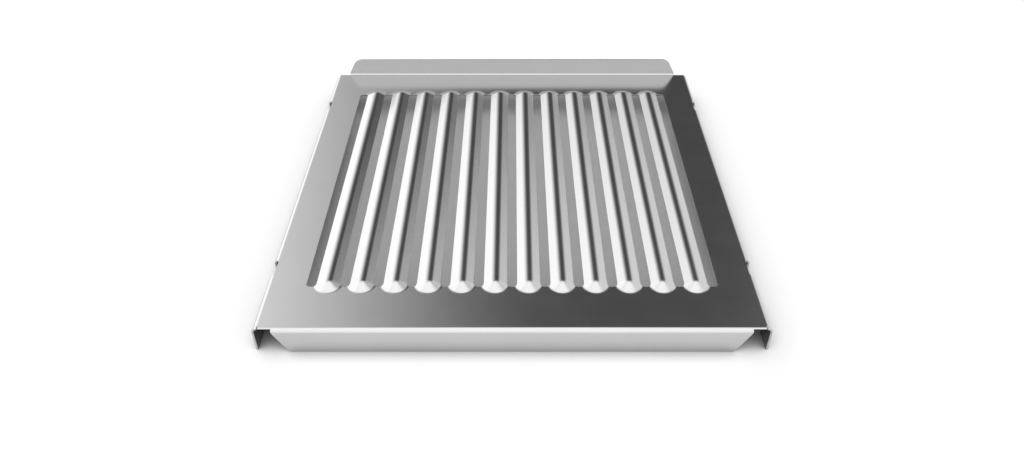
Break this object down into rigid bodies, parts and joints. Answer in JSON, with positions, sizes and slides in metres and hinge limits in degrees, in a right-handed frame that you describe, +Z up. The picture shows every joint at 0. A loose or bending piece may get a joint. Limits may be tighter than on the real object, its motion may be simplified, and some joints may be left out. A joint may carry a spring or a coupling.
{
  "type": "barbecue heat plate",
  "caption": "Shallow folded steel plate with long slots between raised ribs, a lip turned down in front and one turned up behind, and notched side flanges.",
  "frame": {"origin": "on the floor under the middle of the box around the part", "axes": "+Z up, +Y from the front lip, turned down, to the rear lip, turned up, +X to the right seen from the front; the ribs run along Y"},
  "size_m": [0.4, 0.4034, 0.042],
  "materials": {
    "steel": "satin stainless steel sheet"
  },
  "bodies": {
    "root": {"deck_front": "steel", "deck_rear": "steel", "deck_left": "steel", "deck_right": "steel", "front_lip": "steel", "rear_lip": "steel", "side_flange_left": "steel", "side_flange_right": "steel", "rib_01": "steel", "rib_02": "steel", "rib_03": "steel", "rib_04": "steel", "rib_05": "steel", "rib_06": "steel", "rib_07": "steel", "rib_08": "steel", "rib_09": "steel", "rib_10": "steel", "rib_11": "steel", "rib_12": "steel"}
  },
  "joints": []
}
